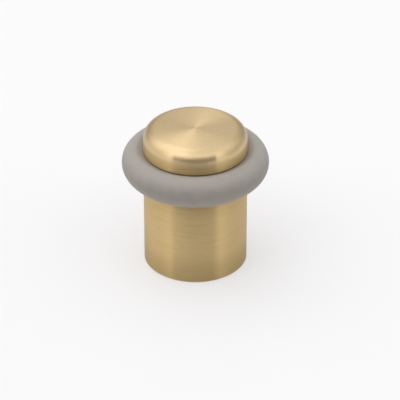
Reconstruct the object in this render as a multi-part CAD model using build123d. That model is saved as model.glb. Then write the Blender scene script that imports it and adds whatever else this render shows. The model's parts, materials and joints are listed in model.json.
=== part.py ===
from build123d import *
from math import radians, tan
import os

# Floor door stop in millimetres: a turned brass post that screws down on a floor stud,
# with a rubber buffer ring seated in a groove below its head.
# Frame: +Z up along the post's axis, origin at the centre of the base, on the floor.
# Every section is drawn with X as the distance from the axis and Y as the height.

# Post, turned from solid bar
post_diameter = 28.0
post_height = 40.2
head_edge_radius = 3.3
base_chamfer = 0.3

# Groove for the buffer ring
groove_height = 30.0  # middle of the groove above the floor
groove_width = 7.4
groove_depth = 3.0
lip_chamfer = 0.2  # broken edge where the groove opens through the wall

# Underside: a shallow relief, so that the post stands on a rim
rim_width = 3.5
relief_depth = 0.8

# Blind tapped hole, with its wall at the thread's outside diameter
thread_diameter = 8.0
thread_length = 18.0  # from the relief face to the last full turn
thread_entry_chamfer = 0.6
drill_point_angle = 118.0

# Buffer ring: a squared foot that fills the groove, and a round bulge outside the post
ring_reach = 5.75  # how far the bulge stands out from the wall of the post
bulge_diameter = 8.8
skin_drop = 0.2  # from the side of the groove in to the skin of the bulge, at the post's wall
flank_angle = 25.0  # slope of the skin from the post's wall up to the crest of the bulge

# Sizes that follow from the ones above
post_radius = post_diameter / 2
groove_low = groove_height - groove_width / 2
groove_high = groove_height + groove_width / 2
groove_floor_radius = post_radius - groove_depth
lip_radius = post_radius - lip_chamfer
relief_radius = post_radius - rim_width
thread_radius = thread_diameter / 2
bulge_radius = bulge_diameter / 2
bulge_centre_radius = post_radius + ring_reach - bulge_radius


def turned(section):
    """Turns a section about the post's axis."""
    return revolve(Plane.XZ * section, Axis.Z)


def band(inner_radius, outer_radius, low, high):
    """Rectangle between two distances from the axis and two heights."""
    place = Pos((inner_radius + outer_radius) / 2, (low + high) / 2)
    return place * Rectangle(outer_radius - inner_radius, high - low)


def corner_near(section, point):
    """The corner of a section that lies nearest to a point."""
    return section.vertices().sort_by_distance(point)[0]


def blank():
    """The bar turned to size: plain wall, rounded head, flat top and base."""
    section = band(0, post_radius, 0, post_height)
    section = fillet(corner_near(section, (post_radius, post_height)), head_edge_radius)
    return turned(chamfer(corner_near(section, (post_radius, 0)), base_chamfer))


def groove():
    """Square groove for the ring's foot, with its lips broken where it opens."""
    outline = Polyline(
        (groove_floor_radius, groove_low),
        (lip_radius, groove_low),
        (post_radius, groove_low - lip_chamfer),
        (post_radius + groove_depth, groove_low - lip_chamfer),
        (post_radius + groove_depth, groove_high + lip_chamfer),
        (post_radius, groove_high + lip_chamfer),
        (lip_radius, groove_high),
        (groove_floor_radius, groove_high),
        close=True,
    )
    return turned(make_face(outline))


def relief():
    """Shallow turned recess in the underside."""
    return turned(band(0, relief_radius, -relief_depth, relief_depth))


def tapped_hole():
    """Blind hole up from the relief: entry chamfer, straight wall and drill point."""
    wall_end = relief_depth + thread_length
    point_top = wall_end + thread_radius / tan(radians(drill_point_angle / 2))
    mouth_radius = thread_radius + thread_entry_chamfer
    outline = Polyline(
        (0, 0),
        (mouth_radius, 0),
        (mouth_radius, relief_depth),
        (thread_radius, relief_depth + thread_entry_chamfer),
        (thread_radius, wall_end),
        (0, point_top),
        close=True,
    )
    return turned(make_face(outline))


def post():
    """The whole turned post."""
    return blank() - groove() - relief() - tapped_hole()


def flank_wedge():
    """Everything outside the groove's mouth between the two sloping flanks of the bulge."""
    slope = tan(radians(flank_angle))
    mouth_drop = skin_drop + lip_chamfer * slope
    run = bulge_diameter
    outline = Polyline(
        (lip_radius, groove_low + mouth_drop),
        (lip_radius + run, groove_low + mouth_drop - run * slope),
        (lip_radius + run, groove_high - mouth_drop + run * slope),
        (lip_radius, groove_high - mouth_drop),
        close=True,
    )
    return make_face(outline)


def buffer_ring():
    """Moulded ring: a squared foot down in the groove and a round bulge outside it."""
    bulge = Pos(bulge_centre_radius, groove_height) * Circle(bulge_radius)
    foot = band(groove_floor_radius, lip_radius, groove_low, groove_high)
    return turned(foot + (bulge & flank_wedge()))


def main():
    os.makedirs("parts", exist_ok=True)
    export_step(post(), "parts/post.step")
    export_step(buffer_ring(), "parts/buffer_ring.step")


main()
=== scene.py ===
import json
import math

import bpy
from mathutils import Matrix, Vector


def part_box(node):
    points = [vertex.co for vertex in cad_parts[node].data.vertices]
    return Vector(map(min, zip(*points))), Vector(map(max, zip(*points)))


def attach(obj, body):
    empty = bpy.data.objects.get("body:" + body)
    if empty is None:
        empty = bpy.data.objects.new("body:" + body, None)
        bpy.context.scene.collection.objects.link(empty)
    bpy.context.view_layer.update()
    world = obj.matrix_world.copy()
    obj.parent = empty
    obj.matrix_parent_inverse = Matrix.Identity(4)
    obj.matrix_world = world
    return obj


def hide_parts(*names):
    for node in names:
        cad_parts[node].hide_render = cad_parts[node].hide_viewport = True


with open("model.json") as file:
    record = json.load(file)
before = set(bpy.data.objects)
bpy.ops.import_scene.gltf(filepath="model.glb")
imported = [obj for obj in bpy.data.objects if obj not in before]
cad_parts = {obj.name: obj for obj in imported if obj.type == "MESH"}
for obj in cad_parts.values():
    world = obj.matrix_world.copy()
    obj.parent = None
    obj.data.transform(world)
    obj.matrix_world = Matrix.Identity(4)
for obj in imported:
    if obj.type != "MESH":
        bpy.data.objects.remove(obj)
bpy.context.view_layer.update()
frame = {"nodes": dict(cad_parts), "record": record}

# Floor door stop: a brushed brass post with a grey rubber buffer ring below its head.
# Everything is in metres, the post's axis is Z and the floor is z = 0.

mm = 0.001
postLow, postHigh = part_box("post")
ringLow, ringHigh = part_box("buffer_ring")
postRadius = (postHigh.x - postLow.x) / 2
ringRadius = (ringHigh.x - ringLow.x) / 2
ringMiddle = (ringHigh.z + ringLow.z) / 2
noiseMiddle = 0.5   # a noise runs from 0 to 1 round this


# Small helpers for node trees

def addNode(tree, kind, **settings):
    node = tree.nodes.new(kind)
    for name, value in settings.items():
        setattr(node, name, value)
    return node


def feed(tree, value, socket):  # an output is linked, a plain value is set on the socket
    if isinstance(value, bpy.types.NodeSocket):
        tree.links.new(value, socket)
    else:
        socket.default_value = value


def calc(tree, operation, *values):
    node = addNode(tree, "ShaderNodeMath", operation=operation)
    for value, socket in zip(values, node.inputs):
        feed(tree, value, socket)
    return node.outputs[0]


def remap(tree, value, low, high, toLow=0.0, toHigh=1.0):  # eased, and held at both ends
    node = addNode(tree, "ShaderNodeMapRange", interpolation_type="SMOOTHSTEP")
    for name, number in (("From Min", low), ("From Max", high), ("To Min", toLow), ("To Max", toHigh)):
        node.inputs[name].default_value = number
    feed(tree, value, node.inputs["Value"])
    return node.outputs["Result"]


def mixColours(tree, factor, first, second):
    node = addNode(tree, "ShaderNodeMix", data_type="RGBA")
    feed(tree, factor, node.inputs["Factor"])
    feed(tree, first, node.inputs[6])     # the colour sockets have no names of their own
    feed(tree, second, node.inputs[7])
    return node.outputs[2]


def newMaterial(name):
    material = bpy.data.materials.new(name)
    material.use_nodes = True
    tree = material.node_tree
    tree.nodes.clear()
    shader = addNode(tree, "ShaderNodeBsdfPrincipled")
    output = addNode(tree, "ShaderNodeOutputMaterial")
    tree.links.new(shader.outputs[0], output.inputs["Surface"])
    return material, tree, shader


def addBump(tree, height, depth, below=None):  # a bump of this depth, on top of the one below
    bump = addNode(tree, "ShaderNodeBump")
    bump.inputs["Distance"].default_value = depth
    tree.links.new(height, bump.inputs["Height"])
    if below:
        tree.links.new(below.outputs[0], bump.inputs["Normal"])
    return bump


def roundTheAxis(tree):  # distance from the axis, height, and the unit direction away from the axis
    split = addNode(tree, "ShaderNodeSeparateXYZ")
    tree.links.new(addNode(tree, "ShaderNodeTexCoord").outputs["Object"], split.inputs[0])
    level = addNode(tree, "ShaderNodeCombineXYZ")
    tree.links.new(split.outputs["X"], level.inputs["X"])
    tree.links.new(split.outputs["Y"], level.inputs["Y"])
    length = addNode(tree, "ShaderNodeVectorMath", operation="LENGTH")
    outward = addNode(tree, "ShaderNodeVectorMath", operation="NORMALIZE")
    tree.links.new(level.outputs[0], length.inputs[0])
    tree.links.new(level.outputs[0], outward.inputs[0])
    return length.outputs["Value"], split.outputs["Z"], outward.outputs[0]


def nearLevel(tree, height, level, width):  # 1 at a level, easing to 0 a width away from it
    away = calc(tree, "ABSOLUTE", calc(tree, "SUBTRACT", height, level))
    return remap(tree, away, 0.0, width, 1.0, 0.0)


# Satin brass: turned, brushed round the axis and lacquered

brassFinish = {
    "colour": (0.735, 0.546, 0.26, 1),
    "paleLine": (0.785, 0.595, 0.3, 1),
    "deepLine": (0.68, 0.497, 0.225, 1),
    "headHighlightTint": (0.75, 0.61, 0.42, 1),   # painted highlight: the head is tinted a little paler to stand in for the whiter look of its highlights
    "headHighlightShare": 0.25,
    "rimTint": (0.66, 0.66, 0.68, 1),    # brass darkens where it is seen edge-on
    "wallRoughness": 0.44,
    "headRoughness": 0.275,              # the head's round and the top are finished finer
    "headRise": (35.5 * mm, 37.5 * mm),  # heights where the finer finish starts, and where it is full
    "anisotropy": 1.0,                   # the brush lines spread the light across themselves
    "spreadTurn": 0.25,                  # the quarter turn that lays the spread across the lines
    "wallLacquer": 0.3,
    "headLacquer": 0.5,
    "lacquerRoughness": 0.25,
    # lines: their spacing, how far one runs before it fades, and how much finer noise is in it
    "fineLines": (0.11 * mm, 9.0 * mm, 2.0),
    "wideLines": (0.9 * mm, 27.0 * mm, 3.0),
    "scratches": (0.42 * mm, 5.5 * mm, 1.0),
    "fineShare": 0.45,
    "wideShare": 0.55,
    "deepRange": (0.28, 0.5),            # levels of the lines where the deep tone is full, and where it ends
    "paleRange": (0.5, 0.72),            # where the pale tone starts, and where it is full
    "scratchRange": (0.56, 0.68),        # where a scratch starts, and where it is full
    "scratchShare": 0.7,                 # how much of the deep tone a scratch takes
    "headLines": 0.25,                   # strength of lines on the head, as a share of the wall's
    "lineDepth": 0.004 * mm,
    "waveDepth": 0.010 * mm,
    "roughnessSpread": 0.12,
    "edgeWidth": 0.45 * mm,              # burnished strip along the groove's lips
    "edgePale": 0.6,                     # how much of the pale tone it takes
    "edgePolish": 0.1,
    "edgeBreaks": (0.3, 0.6),            # levels of the wide lines between which it wears off
    "edgeLeast": 0.4,                    # what is left of it there
    "footShade": (0.45, 0.32, 0.14, 1),   # painted shade: the foot is darkened to stand in for the shadowed floor it mirrors near the base
    "footShadeWidth": 11.0 * mm,
    "footShadeShare": 0.68,
    "crownRadius": 130.0 * mm,           # the facing cut leaves the top slightly domed
    "crownEdge": 10.9 * mm,              # where the crown runs out into the head's round
    "crownEase": 0.5 * mm,
}


def brushLines(tree, axis, spacing, streak, detail):
    distance, height, outward = axis
    around = addNode(tree, "ShaderNodeVectorMath", operation="SCALE")
    tree.links.new(outward, around.inputs[0])
    around.inputs["Scale"].default_value = postRadius / streak
    across = addNode(tree, "ShaderNodeCombineXYZ")
    feed(tree, calc(tree, "DIVIDE", distance, spacing), across.inputs["Z"])
    place = addNode(tree, "ShaderNodeVectorMath", operation="ADD")
    tree.links.new(around.outputs[0], place.inputs[0])
    tree.links.new(across.outputs[0], place.inputs[1])
    noise = addNode(tree, "ShaderNodeTexNoise", noise_dimensions="4D")
    tree.links.new(place.outputs[0], noise.inputs["Vector"])
    feed(tree, calc(tree, "DIVIDE", height, spacing), noise.inputs["W"])
    noise.inputs["Scale"].default_value = 1.0
    noise.inputs["Detail"].default_value = detail
    return noise.outputs["Fac"]


def brassTone(tree, height, lines, scratches, lineStrength):
    finish = brassFinish
    plain = remap(tree, lines, *finish["deepRange"])
    toned = mixColours(tree, plain, finish["deepLine"], finish["colour"])
    toned = mixColours(tree, remap(tree, lines, *finish["paleRange"]), toned, finish["paleLine"])
    scratched = remap(tree, scratches, *finish["scratchRange"], 0.0, finish["scratchShare"])
    toned = mixColours(tree, calc(tree, "MULTIPLY", scratched, lineStrength), toned, finish["deepLine"])
    # painted highlight: towards the head the colour turns paler
    head = remap(tree, height, *finish["headRise"], 0.0, finish["headHighlightShare"])
    return mixColours(tree, head, toned, finish["headHighlightTint"])


def rubbedLips(tree, distance, height, wide):  # the lips that the ring rubs, 1 where they are burnished
    finish = brassFinish
    side = ringShape["grooveWidth"] / 2
    lips = calc(
        tree, "MAXIMUM",
        nearLevel(tree, height, ringMiddle + side, finish["edgeWidth"]),
        nearLevel(tree, height, ringMiddle - side, finish["edgeWidth"]),
    )
    outside = remap(tree, distance, postRadius - finish["edgeWidth"], postRadius)
    kept = remap(tree, wide, *finish["edgeBreaks"], finish["edgeLeast"], 1.0)
    return calc(tree, "MULTIPLY", calc(tree, "MULTIPLY", lips, outside), kept)


def crownFall(tree, distance, height):  # how far the top falls away, from the groove's middle upwards
    finish = brassFinish
    reach = calc(tree, "SMOOTH_MIN", distance, finish["crownEdge"], finish["crownEase"])
    # a shallow dome falls by the square of the distance over twice its radius
    fall = calc(tree, "MULTIPLY", calc(tree, "MULTIPLY", reach, reach), -0.5 / finish["crownRadius"])
    return calc(tree, "MULTIPLY", fall, calc(tree, "GREATER_THAN", height, ringMiddle))


def satinBrass():
    finish = brassFinish
    material, tree, shader = newMaterial("satinBrass")
    axis = roundTheAxis(tree)
    distance, height = axis[:2]
    fine = brushLines(tree, axis, *finish["fineLines"])
    wide = brushLines(tree, axis, *finish["wideLines"])
    scratches = brushLines(tree, axis, *finish["scratches"])

    # the lines are weaker on the head
    lineStrength = remap(tree, height, *finish["headRise"], 1.0, finish["headLines"])
    lines = calc(tree, "ADD", calc(tree, "MULTIPLY", fine, finish["fineShare"]),
                 calc(tree, "MULTIPLY", wide, finish["wideShare"]))
    offMiddle = calc(tree, "MULTIPLY", calc(tree, "SUBTRACT", lines, noiseMiddle), lineStrength)
    lines = calc(tree, "ADD", offMiddle, noiseMiddle)

    # colour: lines and scratches, then the burnished lips and the painted shade at the foot
    toned = brassTone(tree, height, lines, scratches, lineStrength)
    wearAndShadeMask = rubbedLips(tree, distance, height, wide)
    worn = mixColours(tree, calc(tree, "MULTIPLY", wearAndShadeMask, finish["edgePale"]), toned, finish["paleLine"])
    # painted shade: darker towards the floor, for the shadowed floor that the foot mirrors
    foot = calc(tree, "MULTIPLY", nearLevel(tree, height, 0.0, finish["footShadeWidth"]), finish["footShadeShare"])
    feed(tree, mixColours(tree, foot, worn, finish["footShade"]), shader.inputs["Base Color"])

    # gloss: the head is smoother than the wall, and the lips are smoother again
    rough = remap(tree, height, *finish["headRise"], finish["wallRoughness"], finish["headRoughness"])
    spread = calc(tree, "MULTIPLY", calc(tree, "SUBTRACT", lines, noiseMiddle), finish["roughnessSpread"])
    rough = calc(tree, "SUBTRACT", rough, spread)
    rough = calc(tree, "SUBTRACT", rough, calc(tree, "MULTIPLY", wearAndShadeMask, finish["edgePolish"]))
    feed(tree, rough, shader.inputs["Roughness"])
    lacquer = remap(tree, height, *finish["headRise"], finish["wallLacquer"], finish["headLacquer"])
    feed(tree, lacquer, shader.inputs["Coat Weight"])

    crown = addBump(tree, crownFall(tree, distance, height), 1.0)   # the fall is in metres already
    waves = addBump(tree, wide, finish["waveDepth"], crown)
    tree.links.new(lineStrength, waves.inputs["Strength"])
    grooves = addBump(tree, fine, finish["lineDepth"], waves)
    tree.links.new(grooves.outputs[0], shader.inputs["Normal"])

    tangent = addNode(tree, "ShaderNodeTangent", direction_type="RADIAL", axis="Z")
    tree.links.new(tangent.outputs[0], shader.inputs["Tangent"])
    shader.inputs["Metallic"].default_value = 1.0
    shader.inputs["Anisotropic"].default_value = finish["anisotropy"]
    shader.inputs["Anisotropic Rotation"].default_value = finish["spreadTurn"]
    shader.inputs["Specular Tint"].default_value = finish["rimTint"]
    shader.inputs["Coat Roughness"].default_value = finish["lacquerRoughness"]
    return material


# Buffer rubber: warm grey, moulded, with a matte skin

rubberFinish = {
    "colour": (0.35, 0.326, 0.289, 1),
    "paleBloom": (0.37, 0.346, 0.308, 1),
    "deepSpot": (0.322, 0.298, 0.262, 1),
    "topLight": (0.44, 0.414, 0.372, 1),   # painted light: the upper half of the ring is paler, as though lit from above
    "topLightShare": 0.35,
    "shadeBand": (0.22, 0.2, 0.174, 1),    # painted shade: a darker band round the widest part of the ring
    "shadeBandShare": 0.47,
    "shadeBandSpread": 0.2,                # the band is this much weaker and stronger from spot to spot
    "shadeBandHalf": 3.7 * mm,
    "roughness": (0.55, 0.67),
    "sheen": 0.06,
    "sheenRoughness": 0.5,
    # noises: their size, and how much finer noise is in them
    "grain": (0.1 * mm, 2.0),
    "mottle": (2.6 * mm, 4.0),
    "grainShare": 0.3,
    "mottleShare": 0.7,
    "spotRange": (0.3, 0.5),           # levels of the noises where the spots are full, and where they end
    "bloomRange": (0.5, 0.7),          # where the bloom starts, and where it is full
    "shadeBandRange": (0.3, 0.6),
    "roughRange": (0.3, 0.7),
    "grainDepth": 0.012 * mm,
    "mottleDepth": 0.02 * mm,
}


def rubberNoise(tree, place, size, detail):
    noise = addNode(tree, "ShaderNodeTexNoise")
    tree.links.new(place, noise.inputs["Vector"])
    noise.inputs["Scale"].default_value = 1 / size
    noise.inputs["Detail"].default_value = detail
    return noise.outputs["Fac"]


def bufferRubber():
    finish = rubberFinish
    material, tree, shader = newMaterial("bufferRubber")
    place = addNode(tree, "ShaderNodeTexCoord").outputs["Object"]
    grain = rubberNoise(tree, place, *finish["grain"])
    mottle = rubberNoise(tree, place, *finish["mottle"])
    tone = calc(tree, "ADD", calc(tree, "MULTIPLY", mottle, finish["mottleShare"]),
                calc(tree, "MULTIPLY", grain, finish["grainShare"]))

    # colour: spots and bloom, then the painted light on the upper half and the painted shade band round the
    # middle
    darkened = mixColours(tree, remap(tree, tone, *finish["spotRange"]), finish["deepSpot"], finish["colour"])
    toned = mixColours(tree, remap(tree, tone, *finish["bloomRange"]), darkened, finish["paleBloom"])
    split = addNode(tree, "ShaderNodeSeparateXYZ")
    tree.links.new(place, split.inputs[0])
    height = split.outputs["Z"]
    # painted light: paler towards the top of the ring
    topLit = remap(tree, height, ringMiddle, ringHigh.z, 0.0, finish["topLightShare"])
    # painted shade: the band round the middle is darker, in patches
    most = finish["shadeBandShare"] * (1 + finish["shadeBandSpread"])
    least = finish["shadeBandShare"] * (1 - finish["shadeBandSpread"])
    patchy = remap(tree, tone, *finish["shadeBandRange"], most, least)
    wearAndShadeMask = calc(tree, "MULTIPLY", nearLevel(tree, height, ringMiddle, finish["shadeBandHalf"]), patchy)
    toned = mixColours(tree, topLit, toned, finish["topLight"])
    feed(tree, mixColours(tree, wearAndShadeMask, toned, finish["shadeBand"]), shader.inputs["Base Color"])
    feed(tree, remap(tree, tone, *finish["roughRange"], *finish["roughness"]), shader.inputs["Roughness"])

    swell = addBump(tree, mottle, finish["mottleDepth"])
    skin = addBump(tree, grain, finish["grainDepth"], swell)
    tree.links.new(skin.outputs[0], shader.inputs["Normal"])
    shader.inputs["Sheen Weight"].default_value = finish["sheen"]
    shader.inputs["Sheen Roughness"].default_value = finish["sheenRoughness"]
    return material


# Buffer ring: the CAD's ring, with rounded corners and a deeper seam beside the post

ringShape = {
    "grooveWidth": 7.4 * mm,     # the foot fills the groove in the post
    "grooveDepth": 3.0 * mm,
    "lipDepth": 0.7 * mm,        # the foot ends this far inside the post's wall
    "skinDrop": 0.2 * mm,        # from the side of the groove in to the skin, at the post's wall
    "flankAngle": 25.0,          # slope of the skin from the post's wall up to the crest
    "bulgeRadius": 4.4 * mm,
    "shoulderRadius": 2.0 * mm,  # between the flank and the crest of the bulge
    "footRadius": 0.3 * mm,
    "footSteps": 4,
    "shoulderSteps": 10,
    "bulgeSteps": 24,
    "around": 192,
}

sharpAngle = 40   # in degrees, an edge that bends more than this stays crisp


def arc(centre, radius, start, end, steps):
    angles = [math.radians(start + (end - start) * step / steps) for step in range(steps + 1)]
    return [centre + radius * Vector((math.cos(angle), math.sin(angle))) for angle in angles]


def ringProfile():  # closed outline: X is the distance from the axis, Y the height above the ring's middle
    shape = ringShape
    bulgeCentre = Vector((ringRadius - shape["bulgeRadius"], 0))
    side = shape["grooveWidth"] / 2
    foot = Vector((postRadius - shape["grooveDepth"], side))
    lip = Vector((postRadius - shape["lipDepth"], side))
    flank = math.radians(shape["flankAngle"])
    along = Vector((math.cos(flank), math.sin(flank)))
    inward = Vector((math.sin(flank), -math.cos(flank)))
    skinStart = lip - Vector((0, shape["skinDrop"] + shape["lipDepth"] * math.tan(flank)))

    # the shoulder's centre lies one radius inside the flank, and one radius inside the bulge
    start = skinStart + shape["shoulderRadius"] * inward - bulgeCentre
    reach = shape["bulgeRadius"] - shape["shoulderRadius"]
    run = -start.dot(along) + math.sqrt(start.dot(along) ** 2 - start.length_squared + reach ** 2)
    shoulder = bulgeCentre + start + run * along
    crest = math.degrees(math.atan2(shoulder.y, shoulder.x - bulgeCentre.x))

    corner = foot + Vector((shape["footRadius"], -shape["footRadius"]))
    upper = arc(corner, shape["footRadius"], 180, 90, shape["footSteps"])
    upper += [lip, skinStart]
    upper += arc(shoulder, shape["shoulderRadius"], shape["flankAngle"] + 90, crest, shape["shoulderSteps"])
    upper += arc(bulgeCentre, shape["bulgeRadius"], crest, 0, shape["bulgeSteps"])[1:]
    lower = [Vector((point.x, -point.y)) for point in reversed(upper[:-1])]
    return upper + lower


def turnedMesh(name, profile, middle, around):  # a closed outline turned into a ring
    verts = []
    for step in range(around):
        angle = 2 * math.pi * step / around
        verts += [(p.x * math.cos(angle), p.x * math.sin(angle), middle + p.y) for p in profile]
    count = len(profile)
    faces = []
    for step in range(around):
        this, after = step * count, (step + 1) % around * count
        for i in range(count):
            j = (i + 1) % count
            faces.append((this + i, this + j, after + j, after + i))
    return solidPiece(name, verts, faces)


def solidPiece(name, verts, faces):
    mesh = bpy.data.meshes.new(name)
    mesh.from_pydata(verts, [], faces)
    mesh.validate()
    mesh.shade_smooth()
    mesh.set_sharp_from_angle(angle=math.radians(sharpAngle))
    piece = bpy.data.objects.new(name, mesh)
    bpy.context.collection.objects.link(piece)
    return piece


def makeBufferRing(material):
    ring = turnedMesh("bufferRing", ringProfile(), ringMiddle, ringShape["around"])
    ring.data.materials.append(material)
    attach(ring, "root")
    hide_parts("buffer_ring")


# Thread ridge inside the blind hole, on the mount that the record states

threadShape = {
    "pitch": 1.25 * mm,
    "rootShare": 7 / 8,       # width of the ridge on the wall, as a share of the pitch
    "crestShare": 1 / 4,      # width of its flat top
    "height": 0.677 * mm,
    "sunk": 0.02 * mm,        # how far its foot goes into the wall
    "fadeTurns": 0.6,         # the ridge grows over this part of a turn at each end
    "tipShare": 0.02,         # how much of its height it has at its very ends
    "stepsPerTurn": 48,
}


def studMount():
    return next(mount for mount in frame["record"]["mounts"] if mount["name"] == "stud_thread")


def makeThread(material):
    shape = threadShape
    mount = studMount()
    wallRadius = mount["dims"]["r_mm"] * mm
    length = mount["dims"]["length_mm"] * mm
    low = mount["pos_m"][2] - length / 2
    turns = (length - shape["pitch"] * shape["rootShare"]) / shape["pitch"]
    steps = round(turns * shape["stepsPerTurn"])
    halfRoot = shape["pitch"] * shape["rootShare"] / 2
    halfCrest = shape["pitch"] * shape["crestShare"] / 2
    verts = []
    for step in range(steps + 1):
        turn = turns * step / steps
        grown = min(1.0, min(turn, turns - turn) / shape["fadeTurns"] + shape["tipShare"])
        angle = 2 * math.pi * turn
        middle = low + halfRoot + turn * shape["pitch"]
        crestRadius = wallRadius - shape["height"] * grown
        section = (
            (wallRadius + shape["sunk"], -halfRoot),
            (wallRadius, -halfRoot),
            (crestRadius, -halfCrest),
            (crestRadius, halfCrest),
            (wallRadius, halfRoot),
            (wallRadius + shape["sunk"], halfRoot),
        )
        verts += [(r * math.cos(angle), r * math.sin(angle), middle + rise) for r, rise in section]
    corners = len(section)
    faces = [tuple(range(corners)), tuple(range(steps * corners, (steps + 1) * corners))[::-1]]
    for step in range(steps):
        this, after = step * corners, (step + 1) * corners
        for i in range(corners):
            j = (i + 1) % corners
            faces.append((this + i, after + i, after + j, this + j))
    thread = solidPiece("studThread", verts, faces)
    thread.data.shade_flat()
    thread.data.materials.append(material)
    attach(thread, "root")


# Studio: pale floor, soft light all round and brighter from above, a dark card in front, and a grey cloth
# that only the brass mirrors, as painted shade in its reflection

floorSetup = {
    "halfWidth": 30.0,
    "colour": (0.88, 0.88, 0.88, 1),
    "ownWhite": 0.45,   # share of plain white that the camera and the metal see under the shadow
}

# heights and directions here are parts of a unit vector: Z 1 is straight up, Y 1 straight behind
lightSetup = {
    # degrees above the horizon, and the light's level there
    "levels": ((0.0, 0.575), (14.0, 0.72), (31.0, 1.025), (51.0, 1.275), (74.0, 1.05)),
    "leanLeft": 0.12,    # share more light from the left, and as much less from the right
    # soft patches of more or less light: direction, level and spread in degrees
    "patches": (
        ((-0.5, 0.27, 0.82), 0.08, 38.0),     # high on the left, a little behind
        ((-0.39, -0.27, 0.88), 0.38, 20.0),   # high on the left, in front
        ((0.45, 0.45, 0.77), -0.15, 35.0),    # high on the right, behind
        ((0.93, 0.1, 0.2), -0.12, 35.0),      # low on the right
    ),
    "stripLevel": 0.53,           # a narrow strip light rises from the back and runs off to the left
    "stripHalf": 0.3,             # its half width in X
    "stripTurn": 0.5,             # how fast it runs off to the left
    "stripLow": 0.53,             # height where it starts to run off
    "stripRise": (0.3, 0.6),      # heights where it starts to shine, and where it is full
    "stripBack": (-0.05, 0.35),   # the same in Y
    "frontBoost": 1.5,            # level beside the dark card, as a share of the sides' level
    "frontRange": (-0.6, -0.15),  # Y where this is full, and where it starts
    "frontFade": (0.74, 1.0),     # heights where it starts to fade, and where it ends
    "backShare": 0.62,            # level straight behind the object, as a share of the sides' level
    "backRange": (0.4, 0.9),      # Y where this starts, and where it is full
    "lowColour": (1.0, 0.965, 0.91, 1),   # the room is warm near the floor and neutral above
    "highColour": (1.0, 0.99, 1.02, 1),
    "colourRise": (0.1, 0.8),     # heights between which the one becomes the other
}

cardSetup = {
    "distance": 2.5,
    "left": 53.0,       # degrees to each side of its top, as the object sees it
    "right": 50.5,
    "lowWidth": 0.83,   # width of its foot, as a share of the top's
    "leftTop": 33.5,    # degrees above the horizon
    "rightTop": 42.0,
    "bow": 0.14,        # how much its top falls towards both ends
    "colour": (0.02, 0.02, 0.02, 1),
    "sideColour": (0.08, 0.08, 0.08, 1),   # the card is paler towards its sides
}

# painted shade in the brass's reflection: a grey cloth on the floor in front, paler to its sides
clothSetup = {
    "near": 0.086,      # starts just below the picture's lower edge
    "left": 51.0,
    "right": 43.0,
    "lowWidth": 1.0,
    "bow": 0.0,
    "lift": 0.5 * mm,   # above the floor
    "colour": (0.33, 0.33, 0.33, 1),
    "sideColour": (0.76, 0.76, 0.76, 1),
}

stripSteps = 24   # flat parts in the curve of the card and the cloth

cameraSetup = {
    "aim": (1.24 * mm, 0, 17.6 * mm),
    "distance": 618 * mm,
    "elevation": 31.8,
    "lens": 205.2,
    "nearest": 0.01,
    "farthest": 100.0,
}


def makeFloor():
    setup = floorSetup
    half = setup["halfWidth"]
    corners = [(-half, -half, 0), (half, -half, 0), (half, half, 0), (-half, half, 0)]
    floor = solidPiece("floor", corners, [(0, 1, 2, 3)])
    material, tree, shader = newMaterial("paleFloor")
    shader.inputs["Base Color"].default_value = setup["colour"]
    shader.inputs["Roughness"].default_value = 1.0
    shader.inputs["Specular IOR Level"].default_value = 0.0
    path = addNode(tree, "ShaderNodeLightPath")
    seen = calc(tree, "MAXIMUM", path.outputs["Is Camera Ray"], path.outputs["Is Glossy Ray"])
    seen = calc(tree, "MAXIMUM", seen, path.outputs["Is Transmission Ray"])
    white = addNode(tree, "ShaderNodeEmission")
    mixed = addNode(tree, "ShaderNodeMixShader")
    feed(tree, calc(tree, "MULTIPLY", seen, setup["ownWhite"]), mixed.inputs["Fac"])
    tree.links.new(shader.outputs[0], mixed.inputs[1])
    tree.links.new(white.outputs[0], mixed.inputs[2])
    # seen from below, the floor lets the view through
    clear = addNode(tree, "ShaderNodeBsdfTransparent")
    sided = addNode(tree, "ShaderNodeMixShader")
    tree.links.new(addNode(tree, "ShaderNodeNewGeometry").outputs["Backfacing"], sided.inputs["Fac"])
    tree.links.new(mixed.outputs[0], sided.inputs[1])
    tree.links.new(clear.outputs[0], sided.inputs[2])
    output = next(node for node in tree.nodes if node.type == "OUTPUT_MATERIAL")
    tree.links.new(sided.outputs[0], output.inputs["Surface"])
    floor.data.materials.append(material)


def inFront(distance, angle, height):  # a point in front of the object, where angle 0 is straight ahead
    return (distance * math.sin(angle), -distance * math.cos(angle), height)


def frontStrip(name, setup, lowEdge, leftEdge, rightEdge):  # a curved strip; an edge is (distance, height)
    verts = []
    for step in range(stripSteps + 1):
        share = step / stripSteps
        angle = math.radians(-setup["left"] + (setup["left"] + setup["right"]) * share)
        distance, height = Vector(leftEdge).lerp(Vector(rightEdge), share)
        height *= 1 - setup["bow"] * (2 * share - 1) ** 2
        verts.append(inFront(lowEdge[0], angle * setup["lowWidth"], lowEdge[1]))
        verts.append(inFront(distance, angle, height))
    faces = [(2 * i, 2 * i + 2, 2 * i + 3, 2 * i + 1) for i in range(stripSteps)]
    strip = solidPiece(name, verts, faces)
    material, tree, shader = newMaterial(name)
    split = addNode(tree, "ShaderNodeSeparateXYZ")
    tree.links.new(addNode(tree, "ShaderNodeTexCoord").outputs["Object"], split.inputs[0])
    side = calc(tree, "ABSOLUTE", calc(tree, "DIVIDE", split.outputs["X"], split.outputs["Y"]))
    paler = remap(tree, side, 0.0, math.tan(math.radians(setup["right"])))
    feed(tree, mixColours(tree, paler, setup["colour"], setup["sideColour"]), shader.inputs["Base Color"])
    shader.inputs["Roughness"].default_value = 1.0
    strip.data.materials.append(material)
    strip.visible_camera = False
    return strip


def makeCard():
    setup = cardSetup
    away = setup["distance"]
    leftHeight = away * math.tan(math.radians(setup["leftTop"]))
    rightHeight = away * math.tan(math.radians(setup["rightTop"]))
    frontStrip("darkCard", setup, (away, 0), (away, leftHeight), (away, rightHeight))


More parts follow.
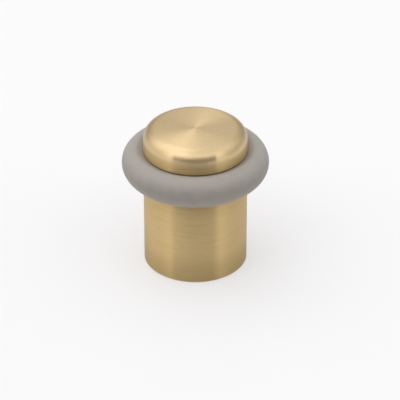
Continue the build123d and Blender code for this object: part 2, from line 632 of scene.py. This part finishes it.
def makeCloth():  # painted shade in the brass's reflection: only the brass mirrors it, and it takes no light from the floor
    setup = clothSetup
    farEdge = (cardSetup["distance"], setup["lift"])
    cloth = frontStrip("reflectedShadeCloth", setup, (setup["near"], setup["lift"]), farEdge, farEdge)
    cloth.visible_diffuse = False
    cloth.visible_shadow = False


def roomLevel(tree, x, y, z):  # brightest halfway up, more to the left and in front, less behind
    setup = lightSetup
    steps = setup["levels"]
    level = steps[0][1]
    for (low, lowLevel), (high, highLevel) in zip(steps, steps[1:]):
        heights = (math.sin(math.radians(low)), math.sin(math.radians(high)))
        level = calc(tree, "ADD", level, remap(tree, z, *heights, 0.0, highLevel - lowLevel))
    lean = calc(tree, "SUBTRACT", 1.0, calc(tree, "MULTIPLY", x, setup["leanLeft"]))
    back = remap(tree, y, *setup["backRange"], 1.0, setup["backShare"])
    ahead = remap(tree, y, *setup["frontRange"], setup["frontBoost"] - 1, 0.0)
    ahead = calc(tree, "MULTIPLY", ahead, remap(tree, z, *setup["frontFade"], 1.0, 0.0))
    front = calc(tree, "ADD", 1.0, ahead)
    return calc(tree, "MULTIPLY", calc(tree, "MULTIPLY", level, lean), calc(tree, "MULTIPLY", back, front))


def stripLight(tree, x, y, z):
    setup = lightSetup
    risen = calc(tree, "MAXIMUM", calc(tree, "SUBTRACT", z, setup["stripLow"]), 0.0)
    across = calc(tree, "ABSOLUTE", calc(tree, "ADD", x, calc(tree, "MULTIPLY", risen, setup["stripTurn"])))
    strip = remap(tree, across, 0.0, setup["stripHalf"], setup["stripLevel"], 0.0)
    strip = calc(tree, "MULTIPLY", strip, remap(tree, z, *setup["stripRise"]))
    return calc(tree, "MULTIPLY", strip, remap(tree, y, *setup["stripBack"]))


def makeLight():
    setup = lightSetup
    world = bpy.data.worlds.new("studio")
    bpy.context.scene.world = world
    world.use_nodes = True
    tree = world.node_tree
    tree.nodes.clear()
    split = addNode(tree, "ShaderNodeSeparateXYZ")
    direction = addNode(tree, "ShaderNodeTexCoord").outputs["Generated"]
    tree.links.new(direction, split.inputs[0])
    x, y, z = split.outputs
    level = calc(tree, "ADD", roomLevel(tree, x, y, z), stripLight(tree, x, y, z))
    for towards, strength, spread in setup["patches"]:
        facing = addNode(tree, "ShaderNodeVectorMath", operation="DOT_PRODUCT")
        tree.links.new(direction, facing.inputs[0])
        facing.inputs[1].default_value = Vector(towards).normalized()
        glow = remap(tree, facing.outputs["Value"], math.cos(math.radians(spread)), 1.0, 0.0, strength)
        level = calc(tree, "ADD", level, glow)
    background = addNode(tree, "ShaderNodeBackground")
    feed(tree, level, background.inputs["Strength"])
    rise = remap(tree, z, *setup["colourRise"])
    feed(tree, mixColours(tree, rise, setup["lowColour"], setup["highColour"]), background.inputs["Color"])
    output = addNode(tree, "ShaderNodeOutputWorld")
    tree.links.new(background.outputs[0], output.inputs["Surface"])


def makeCamera():
    setup = cameraSetup
    elevation = math.radians(setup["elevation"])
    back = Vector((0, -math.cos(elevation), math.sin(elevation)))
    data = bpy.data.cameras.new("camera")
    data.lens = setup["lens"]
    data.clip_start = setup["nearest"]
    data.clip_end = setup["farthest"]
    camera = bpy.data.objects.new("camera", data)
    bpy.context.collection.objects.link(camera)
    camera.location = Vector(setup["aim"]) + back * setup["distance"]
    camera.rotation_mode = "QUATERNION"
    camera.rotation_quaternion = (-back).to_track_quat("-Z", "Y")
    bpy.context.scene.camera = camera


def dressPost(material):
    post = frame["nodes"]["post"]
    post.data.materials.clear()
    post.data.materials.append(material)


makeCamera()
makeLight()
makeFloor()
makeCard()
makeCloth()
bpy.context.scene.view_settings.view_transform = "Standard"
print("stage: camera, light, floor, card and cloth are set")

brass = satinBrass()
rubber = bufferRubber()
print("stage: brass and rubber are mixed")

dressPost(brass)
makeBufferRing(rubber)
makeThread(brass)
print("stage: post dressed, ring and thread made")
